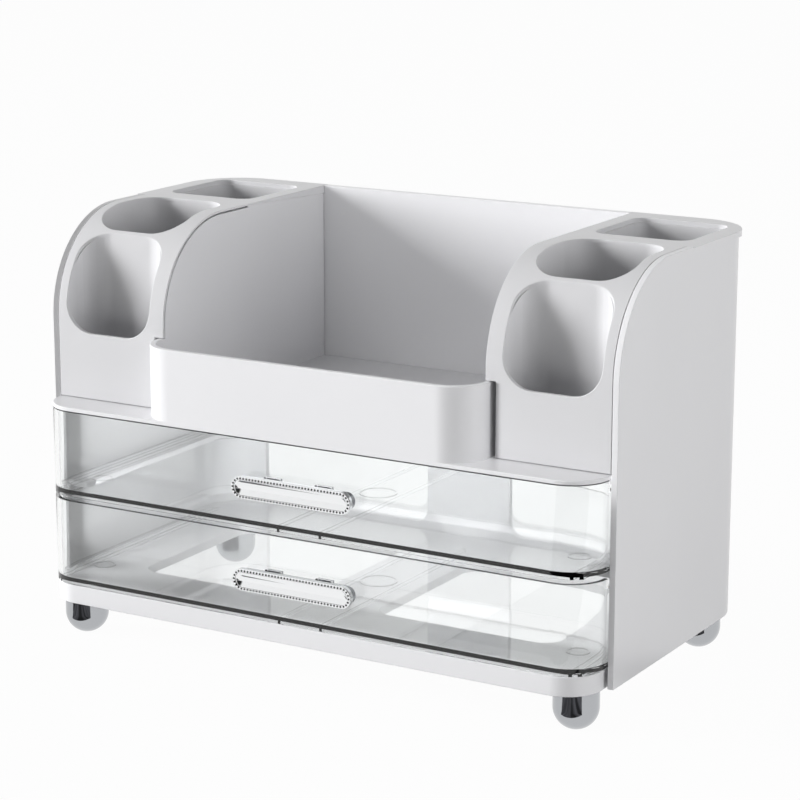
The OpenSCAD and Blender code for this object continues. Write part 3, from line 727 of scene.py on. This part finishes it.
bpy.ops.object.select_all(action="DESELECT")
bpy.ops.mesh.primitive_plane_add(size=stage["floorSize"] * mm, location=(0, 0, 0))
floor = bpy.context.object
floor.name = "floor"
sweep = bpy.data.materials.new("whiteSweepPaper")
sweep.use_nodes = True
tree = sweep.node_tree
tree.nodes.clear()
path, eye = seenByEye(tree)
paper = addNode(tree, "ShaderNodeBsdfDiffuse", {"Color": linear(stage["floorColour"])})
glow = addNode(tree, "ShaderNodeEmission", {"Color": (1, 1, 1, 1), "Strength": 1.0})
seen = addNode(tree, "ShaderNodeMath", {"operation": "MAXIMUM"})
tree.links.new(eye, seen.inputs[0])
tree.links.new(path.outputs["Is Glossy Ray"], seen.inputs[1])
share = addNode(tree, "ShaderNodeMath", {"operation": "MULTIPLY"})
tree.links.new(seen.outputs[0], share.inputs[0])
share.inputs[1].default_value = stage["glow"]
mixed = addNode(tree, "ShaderNodeMixShader")
tree.links.new(share.outputs[0], mixed.inputs[0])
tree.links.new(paper.outputs[0], mixed.inputs[1])
tree.links.new(glow.outputs[0], mixed.inputs[2])
addNode(tree, "ShaderNodeOutputMaterial", None, {"Surface": mixed.outputs[0]})
floor.data.materials.append(sweep)
floor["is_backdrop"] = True

world = bpy.data.worlds.new("studio")
scene.world = world
world.use_nodes = True
tree = world.node_tree
tree.nodes.clear()
path, eye = seenByEye(tree)
way = addNode(tree, "ShaderNodeTexCoord").outputs["Generated"]
heading = addNode(tree, "ShaderNodeSeparateXYZ", None, {"Vector": way})
ambient = addNode(tree, "ShaderNodeMapRange", {"From Min": stage["frontUpTo"], "From Max": stage["backFrom"],
                                               "To Min": stage["frontSky"], "To Max": stage["backSky"]},
                  {"Value": heading.outputs["Y"]})
# Bright metal sees a dark room on the camera's side
toDark = addNode(tree, "ShaderNodeVectorMath", {"operation": "DOT_PRODUCT"})
tree.links.new(way, toDark.inputs[0])
toDark.inputs[1].default_value = stage["darkWay"]
room = addNode(tree, "ShaderNodeMapRange", {"From Min": stage["whiteUpTo"], "From Max": stage["darkFrom"],
                                             "To Min": stage["whiteRoom"], "To Max": stage["darkRoom"]},
               {"Value": toDark.outputs["Value"]})
strength = addNode(tree, "ShaderNodeMix", {"data_type": "FLOAT"}, {
    "Factor": path.outputs["Is Glossy Ray"], "A": ambient.outputs["Result"], "B": room.outputs["Result"]})
final = addNode(tree, "ShaderNodeMix", {"data_type": "FLOAT", "B": 1.0},
                {"Factor": eye, "A": strength.outputs["Result"]})
sky = addNode(tree, "ShaderNodeBackground", {"Color": (1, 1, 1, 1)}, {"Strength": final.outputs["Result"]})
addNode(tree, "ShaderNodeOutputWorld", None, {"Surface": sky.outputs[0]})


# Dark cards on the table, which only the bright metal sees: one before each foot, wider away from it,
# and one large on the camera's side
footCards = dict(
    left=60, right=96, near=19, far=78, narrow=0.24, low=0.2, high=0.6,
    dark="#262628", light="#6e6e72", streak=9)
roomCard = dict(low=(30, -1600, 0.2), high=(1800, -190, 0.6), dark="#141415", streak=50)
cardLook = dict(roughness=0.9, squeeze=(1, 0.05, 1), darkUpTo=0.35, lightFrom=0.65)


def cardPaper(name, dark, light, streak):
    material, tree, shader, place = newMaterial(name, {"Roughness": cardLook["roughness"]})
    along = addNode(tree, "ShaderNodeMapping", {"Scale": cardLook["squeeze"]}, {"Vector": place})
    grain = addNode(tree, "ShaderNodeTexNoise", {"Scale": 1 / (streak * mm), "Detail": 1.0},
                    {"Vector": along.outputs["Vector"]})
    level = addNode(tree, "ShaderNodeMapRange",
                    {"From Min": cardLook["darkUpTo"], "From Max": cardLook["lightFrom"]},
                    {"Value": grain.outputs["Fac"]})
    tint = addNode(tree, "ShaderNodeMix", {"data_type": "RGBA", "A": linear(dark), "B": linear(light)},
                   {"Factor": level.outputs["Result"]})
    tree.links.new(tint.outputs["Result"], shader.inputs["Base Color"])
    return material


def addCard(name, low, high, paper):
    card = addBlock(name, low, high)
    card.data.materials.append(paper)
    card.visible_camera = card.visible_diffuse = card.visible_transmission = card.visible_shadow = False
    card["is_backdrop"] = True
    return card


# Flags that only the lamps see
flags = dict(
    drawerFlag=((-160, -80, 32), (160, -79.5, 121)),  # the key doesn't shine straight into the drawers
    grooveFlag=((96.5, -67.4, 127.5), (99.3, -58, 164.5)))  # the groove beside the tray stays dark
for name, (low, high) in flags.items():
    flag = addBlock(name, low, high)
    flag.visible_camera = flag.visible_diffuse = flag.visible_glossy = flag.visible_transmission = False
    flag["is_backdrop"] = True

streaked = cardPaper("streakedCard", footCards["dark"], footCards["light"], footCards["streak"])
for y in (foot["frontY"], foot["rearY"]):
    for x in (-foot["spotX"], foot["spotX"]):
        card = addCard("footCard", (x - footCards["left"], y - footCards["far"], footCards["low"]),
                       (x + footCards["right"], y - footCards["near"], footCards["high"]), streaked)
        for v in card.data.vertices:
            if v.co.y / mm > y - footCards["near"] - 1:
                v.co.x = (x + (v.co.x / mm - x) * footCards["narrow"]) * mm
black = cardPaper("blackCard", roomCard["dark"], roomCard["dark"], roomCard["streak"])
addCard("roomCard", roomCard["low"], roomCard["high"], black)

# A large key low on the left, with a little light from the front and the right
# The left panel and the back have a soft lamp of their own, so that neither is too white or too grey
softboxes = dict(
    key=dict(around=-64, height=15, distance=5000, size=2000, power=382, passes=["bayTray"],
             misses=["leftSidePanel"]),
    front=dict(around=-5, height=34, distance=2500, size=1800, power=17, passes=["drawerFlag"],
               misses=["leftCupTower", "rightCupTower"]),
    fill=dict(around=80, height=10, distance=1600, size=1000, power=14),
    rear=dict(around=-125, height=15, distance=5000, size=2000, power=160,
              only=["leftSidePanel", "backPanel"]))
aim = Vector((0, 0, 120)) * mm  # what the softboxes face


# The named pieces, for a lamp to light alone, to miss, or to shine through
def linkedTo(name, pieces, state):
    group = bpy.data.collections.new(name)
    for i, piece in enumerate(pieces):
        group.objects.link(bpy.data.objects[piece])
        group.collection_objects[i].light_linking.link_state = state
    return group


def addSoftbox(name, place, toLamp, wide, tall, power):
    lamp = bpy.data.lights.new(name + "Softbox", "AREA")
    lamp.shape, lamp.size, lamp.size_y, lamp.energy = "RECTANGLE", wide * mm, tall * mm, power
    lampObj = bpy.data.objects.new(name + "Softbox", lamp)
    scene.collection.objects.link(lampObj)
    lampObj.location = place
    lampObj.rotation_mode = "QUATERNION"
    lampObj.rotation_quaternion = toLamp.to_track_quat("Z", "Y")
    lampObj.visible_camera = lampObj.visible_glossy = lampObj.visible_transmission = False
    return lampObj


for name, box in softboxes.items():
    around, height = math.radians(box["around"]), math.radians(box["height"])
    level = math.cos(height)
    toLamp = Vector((math.sin(around) * level, -math.cos(around) * level, math.sin(height)))
    place = aim + toLamp * box["distance"] * mm
    lampObj = addSoftbox(name, place, toLamp, box["size"], box["size"], box["power"])
    if "passes" in box:
        lampObj.light_linking.blocker_collection = linkedTo(name + "Passes", box["passes"], "EXCLUDE")
    if "misses" in box:
        lampObj.light_linking.receiver_collection = linkedTo(name + "Misses", box["misses"], "EXCLUDE")
    if "only" in box:
        lampObj.light_linking.receiver_collection = linkedTo(name + "Only", box["only"], "INCLUDE")

# The light that comes in through the clear drawers' fronts
drawerLight = dict(y=-55, height=82, tall=76, wide=310, power=0.5, spread=140)
lampObj = addSoftbox("drawer", Vector((0, drawerLight["y"], drawerLight["height"])) * mm, Vector((0, -1, 0)),
                     drawerLight["wide"], drawerLight["tall"], drawerLight["power"])
lampObj.data.spread = math.radians(drawerLight["spread"])

view = dict(place=(676.1, -1134.9, 444.3), turn=30.49, dip=13.38, lens=117.5, sensor=36)
camera = bpy.data.cameras.new("camera")
camera.sensor_width, camera.lens = view["sensor"], view["lens"]
cameraObj = bpy.data.objects.new("camera", camera)
scene.collection.objects.link(cameraObj)
cameraObj.location = Vector(view["place"]) * mm
cameraObj.rotation_euler = (math.radians(90 - view["dip"]), 0, math.radians(view["turn"]))
scene.camera = cameraObj
print("stage set")

low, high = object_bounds()
